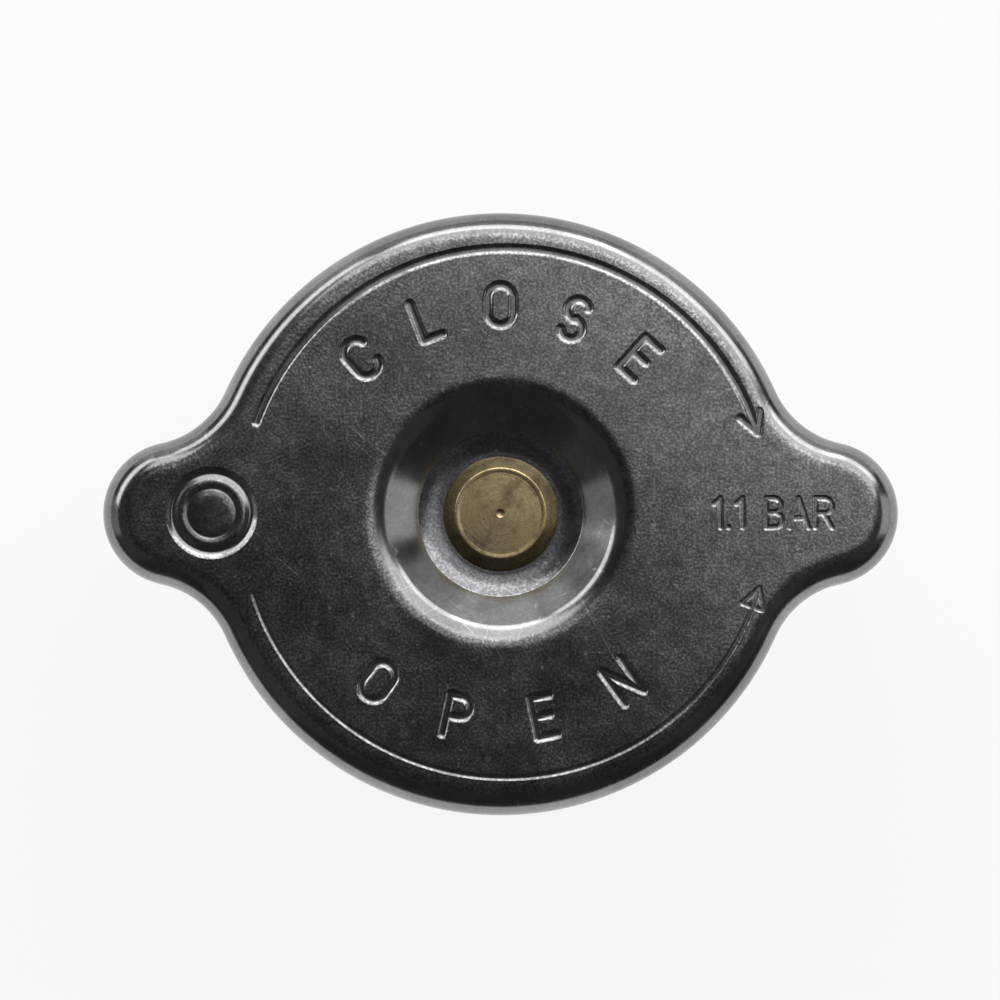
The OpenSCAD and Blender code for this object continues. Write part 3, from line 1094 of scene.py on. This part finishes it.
    def sector(self, name: str, section: Sequence[Corner], angle: float) -> Cutters:
        """A section swept over an angle at each of the two tangs.

        Args:
            name: the objects' name.
            section: the closed section.
            angle: the angle, in degrees.

        Returns:
            Two closed meshes in millimetres.
        """
        made = []
        for side in (90.0, 270.0):
            work = Workpiece()
            wire = work.wire(section, True, self.tang_segments)
            bmesh.ops.contextual_create(work.bm, geom=edges_of(wire))
            bmesh.ops.spin(
                work.bm, geom=wire + work.bm.faces[:], cent=(0, 0, 0), axis=UP, dvec=(0, 0, 0),
                angle=math.radians(angle), steps=self.tang_steps, use_merge=False,
                use_duplicate=False,
            )
            work.close()
            work.move(Matrix.Rotation(math.radians(side - angle / 2), 4, "Z"))
            made.append(work.rough(name))
        return made

    def notches(self) -> Cutters:
        """Cutters that free the skirt's lower edge at the tangs."""
        low, high = self.skirt - self.over, self.skirt + self.tang_bend
        inner, outer = self.body_r - self.tang_bend, self.body_r + self.over
        section = corners((inner, low), (outer, low), (outer, high), (inner, high))
        return self.sector("notch", section, self.tang_angle + 2 * self.tang_relief)

    def tangs(self) -> Cutters:
        """The skirt's edge bent in under the neck's rim, a skin thinner than the sheet."""
        skin = self.tang_skin
        outer, low = self.body_r - skin, self.skirt + skin
        face = corners(
            (outer, self.skirt + self.tang_bend + self.tang_root),
            (outer, low, self.tang_bend - skin),
            (self.tang_in, low),
        )
        section = sheet_section(face, self.sheet - 2 * skin)
        return self.sector("tang", section, self.tang_angle)


@dataclass
class WindowedBell(Turning):
    """The spring housing with round-ended windows in its wall."""

    windows: int = 4
    first_window: float = 45.0
    window_w: float = 7.0
    window_h: float = 8.0
    window_z: float = 16.0
    window_sides: int = 48
    cutter_from: float = 9.0
    cutter_run: float = 12.0

    def shape(self, rough: bpy.types.Object) -> bpy.types.Object:
        """Cuts the windows.

        Args:
            rough: the turned bell.

        Returns:
            The bell with its windows.
        """
        pitch = FULL_TURN / self.windows
        tools = [self.window(pitch * i + self.first_window) for i in range(self.windows)]
        cut(rough, tools, "DIFFERENCE")
        return rough

    def window(self, angle: float) -> bpy.types.Object:
        """A cutter for one window.

        Args:
            angle: where it goes round the wall, in degrees.

        Returns:
            A closed mesh in millimetres.
        """
        work = Workpiece()
        half, straight = self.window_w / 2, (self.window_h - self.window_w) / 2
        sides = self.window_sides
        disc = bmesh.ops.create_circle(work.bm, cap_ends=True, segments=sides, radius=half)["verts"]
        for vert in disc:
            vert.co.y += math.copysign(straight, vert.co.y)
        raised = bmesh.ops.extrude_face_region(work.bm, geom=work.bm.faces[:])["geom"]
        bmesh.ops.translate(work.bm, verts=verts_of(raised), vec=UP * self.cutter_run)
        work.close()
        work.move(
            Matrix.Rotation(math.radians(angle), 4, "Z")
            @ Matrix.Translation((self.cutter_from, 0, self.window_z))
            @ Matrix.Rotation(math.radians(90), 4, "Z")
            @ Matrix.Rotation(math.radians(90), 4, "X")
        )
        return work.rough("window")


@dataclass
class CoilSpring:
    """A round-wire compression spring with a closed turn at each end."""

    name: str
    node: str
    body: Body
    joint: str
    wire: float
    outer_r: float
    low: float
    high: float
    turns: float
    fixed_z: float
    travel: float
    sides: int = 20
    per_turn: int = 72
    closed_pitch: float = 1.04

    def build(self) -> bpy.types.Object:
        """Winds the spring.

        Returns:
            The finished piece.
        """
        work = Workpiece()
        half = self.wire / 2
        ring = bmesh.ops.create_circle(
            work.bm, cap_ends=True, segments=self.sides, radius=half
        )["verts"]
        work.move(
            Matrix.Translation((self.outer_r - half, 0, self.low + half))
            @ Matrix.Rotation(math.radians(90), 4, "X")
        )
        closed = self.closed_pitch * self.wire
        open_rise = self.high - self.low - self.wire - 2 * closed
        geom = ring + work.bm.edges[:]
        for turns, rise in ((1.0, closed), (self.turns - 2.0, open_rise), (1.0, closed)):
            geom = work.turn(geom, FULL_TURN * turns, round(self.per_turn * turns), rise=rise)
        bmesh.ops.contextual_create(work.bm, geom=edges_of(geom))
        work.close()
        piece = hand_over(work.rough(self.name), SPRING, self.body, self.node)
        length = self.high - self.low
        (length - self.travel) / length
        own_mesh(piece)
        return piece


def turned_pieces() -> list[Turning]:
    """The pieces that are turned from a section, from the rivet down.

    Returns:
        The pieces, not yet built.
    """
    rivet = corners(
        (0, 21.1), (2.4, 21.55, 2.0), (4.0, 22.5, 0.15), (2.4, 22.5), (2.4, 24.5), (3.0, 24.5),
        (3.0, 25.6), (5.85, 25.6, 0.2), (5.85, 26.3, 0.3), (4.65, 27.5, 0.2), (4.2, 27.44, 0.6),
        (0.45, 27.49, 0.1), (0, 27.25),
    )
    diaphragm = corners((2.45, 24.5), (17.6, 24.5, 3.0), (21.1, 22.7, 3.0), (25.9, 22.7))
    seal = corners((21.4, 20.7, 0.25), (25.6, 20.7, 0.25), (25.6, 22.3, 0.25), (21.4, 22.3, 0.25))
    bell = corners((2.45, 24.1), (17, 24.1, 2.2), (17, 7.9, 1.6), (14.4, 7.9))
    cup = corners((15.4, 9.55), (13.0, 9.55, 0.5), (13.0, 4.4, 0.8), (3.95, 4.4))
    pan = corners((3.95, 3.6), (20.85, 3.6, 1.6), (20.85, 1.4))
    gasket = corners(
        (5.3, 1.6, 0.2), (11, 1.6, 0.25), (11, 0, 0.3),
        (20, 0, 0.3), (20, 2.8, 0.8), (5.3, 2.8, 0.1),
    )
    poppet = corners(
        (0, 0.35), (7.4, 0.35, 0.2), (7.8, 0.75, 0.2), (7.8, 1.55, 0.1), (1.5, 1.55, 0.2),
        (1.5, 10.55), (2.2, 10.55, 0.1), (1.4, 11.12, 1.0), (0, 11.25),
    )
    diaphragm = sheet_section(diaphragm, thickness=0.4, cut_edge=0.12)
    bell, cup, pan = (sheet_section(face, thickness=0.8) for face in (bell, cup, pan))
    return [
        Turning("brass_rivet", "centre_rivet", Body.BELL, BRASS, rivet, closed=False),
        Turning("sprung_diaphragm", "diaphragm_spring", Body.BELL, SPRING, diaphragm),
        Turning("neck_rim_seal", "upper_seal", Body.BELL, RUBBER, seal),
        WindowedBell("spring_housing", "spring_bell", Body.BELL, TINNED, bell),
        Turning("valve_cup", "spring_cup", Body.PRESSURE_VALVE, TINNED, cup),
        Turning("valve_pan", "gasket_pan", Body.PRESSURE_VALVE, TINNED, pan),
        Turning("seat_gasket", "valve_gasket", Body.PRESSURE_VALVE, RUBBER, gasket),
        Turning("brass_poppet", "vacuum_poppet", Body.VACUUM_VALVE, BRASS, poppet, closed=False),
    ]


def springs() -> list[CoilSpring]:
    """The two coil springs.

    Returns:
        The springs, not yet built.
    """
    return [
        CoilSpring(
            "main_coil", "pressure_spring", Body.BELL, "pressure_valve_lift",
            wire=2.0, outer_r=12.7, low=4.4, high=23.3, turns=5.5, fixed_z=23.3, travel=4.0,
        ),
        CoilSpring(
            "light_coil", "vacuum_spring", Body.PRESSURE_VALVE, "vacuum_valve_open",
            wire=0.5, outer_r=4.8, low=5.1, high=9.7, turns=4.0, fixed_z=5.1, travel=1.8,
            sides=16, per_turn=56,
        ),
    ]


def dress_hidden_nodes() -> None:
    """Gives the solids that show as they are their finishes."""
    finishes = {"rivet_washer": TINNED, "port_eyelet": BRASS, "vacuum_keeper": TINNED}
    for node, finish in finishes.items():
        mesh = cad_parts[node].data
        mesh.materials.clear()
        mesh.materials.append(finish.material())
        log.info("%s keeps its solid", node)


# Studio


@dataclass(frozen=True)
class Softbox:
    """A soft rectangular lamp that faces the cap."""

    name: str
    azimuth: float
    elevation: float
    distance: float
    width: float
    height: float
    radiance: float

    def build(self, target: Vector) -> None:
        """Puts the lamp in its place.

        Args:
            target: what it faces, in metres.
        """
        lamp = bpy.data.lights.new(self.name, "AREA")
        lamp.shape = "RECTANGLE"
        lamp.size, lamp.size_y = self.width, self.height
        lamp.energy = self.radiance * math.pi * self.width * self.height
        made = bpy.data.objects.new(self.name, lamp)
        lift = math.radians(self.elevation)
        away = polar(self.azimuth, math.cos(lift)) + UP * math.sin(lift)
        made.location = target + away * self.distance
        made.rotation_euler = away.to_track_quat("Z", "Y").to_euler()
        made.visible_camera = False
        bpy.context.scene.collection.objects.link(made)


@dataclass
class Studio:
    """Camera, floor, lamps and surroundings."""

    view_mm: float = 102.4
    distance: float = 0.6
    elevation: float = 88.0
    aim: Triple = (-0.06, 1.30, 29.15)
    sensor: float = 36.0
    clip: Pair = (0.01, 10.0)
    floor_r: float = 3000.0
    floor_sides: int = 96
    floor_grey: float = 0.9
    floor_glow: float = 0.9
    room_grey: float = 0.045
    softboxes: tuple[Softbox, ...] = (
        Softbox("north_strip", 88, 27.5, 0.42, 0.30, 0.115, 3.7),
        Softbox("north_east_strip", 52, 27.5, 0.42, 0.30, 0.115, 2.7),
        Softbox("north_west_strip", 143, 27.5, 0.42, 0.38, 0.115, 2.8),
        Softbox("north_panel", 74, 50, 0.42, 0.56, 0.25, 1.8),
        Softbox("north_apron", 85, 10, 0.42, 0.90, 0.13, 0.55),
        Softbox("east_box", 0, 18, 0.45, 0.26, 0.28, 0.8),
        Softbox("west_box", 180, 16, 0.45, 0.26, 0.24, 0.35),
        Softbox("overhead", 58, 72, 0.40, 0.30, 0.19, 0.70),
        Softbox("south_west_fill", 203, 38, 0.50, 0.40, 0.45, 0.04),
        Softbox("south_east_fill", 334, 45, 0.50, 0.36, 0.40, 0.03),
    )

    def build(self) -> None:
        """Sets up the whole studio."""
        self.camera()
        self.floor()
        self.surroundings()
        for box in self.softboxes:
            box.build(Vector((0, 0, self.aim[2] * MM)))
        bpy.context.scene.view_settings.view_transform = "Standard"

    def camera(self) -> None:
        """A long lens that looks down on the cap."""
        lens = bpy.data.cameras.new("camera")
        lens.sensor_width = self.sensor
        lens.lens = self.sensor * self.distance / (self.view_mm * MM)
        lens.clip_start, lens.clip_end = self.clip
        made = bpy.data.objects.new("camera", lens)
        tilt = math.radians(90.0 - self.elevation)
        away = Vector((0, -math.sin(tilt), math.cos(tilt)))
        made.location = Vector(self.aim) * MM + away * self.distance
        made.rotation_euler = (tilt, 0, 0)
        bpy.context.scene.collection.objects.link(made)
        bpy.context.scene.camera = made

    def floor(self) -> None:
        """A plain pale floor under the cap."""
        work = Workpiece()
        bmesh.ops.create_circle(
            work.bm, cap_ends=True, segments=self.floor_sides, radius=self.floor_r
        )
        made = work.rough("floor")
        made.data.transform(Matrix.Scale(MM, 4))
        material = bpy.data.materials.new("pale_floor")
        tree = ShaderTree(material)
        matt = tree.node("ShaderNodeBsdfDiffuse", None, {"Color": grey(self.floor_grey)})
        glow = tree.node("ShaderNodeEmission", None, {"Color": grey(1.0), "Strength": 1.0})
        seen = tree.seen_by("Is Camera Ray") + tree.seen_by("Is Glossy Ray")
        seen = (seen + tree.seen_by("Is Transmission Ray")) * self.floor_glow
        mixed = tree.node("ShaderNodeMixShader", None, {0: seen, 1: matt, 2: glow})
        tree.node("ShaderNodeOutputMaterial", None, {"Surface": mixed})
        made.data.materials.append(material)
        bpy.context.scene.collection.objects.link(made)

    def surroundings(self) -> None:
        """A dim even room, white behind the cap where the camera sees it."""
        world = bpy.data.worlds.new("room")
        bpy.context.scene.world = world
        tree = ShaderTree(world)
        seen = tree.seen_by("Is Camera Ray")
        dim, white = (
            tree.node("ShaderNodeBackground", None, {"Color": grey(level), "Strength": 1.0})
            for level in (self.room_grey, 1.0)
        )
        mixed = tree.node("ShaderNodeMixShader", None, {0: seen, 1: dim, 2: white})
        tree.node("ShaderNodeOutputWorld", None, {"Surface": mixed})


def main() -> None:
    """Builds every piece, then the studio."""
    logging.basicConfig(level=logging.INFO, format="%(message)s")
    PressedShell().build()
    for piece in turned_pieces():
        piece.build()
    for spring in springs():
        spring.build()
    dress_hidden_nodes()
    Studio().build()


if __name__ == "__main__":
    main()
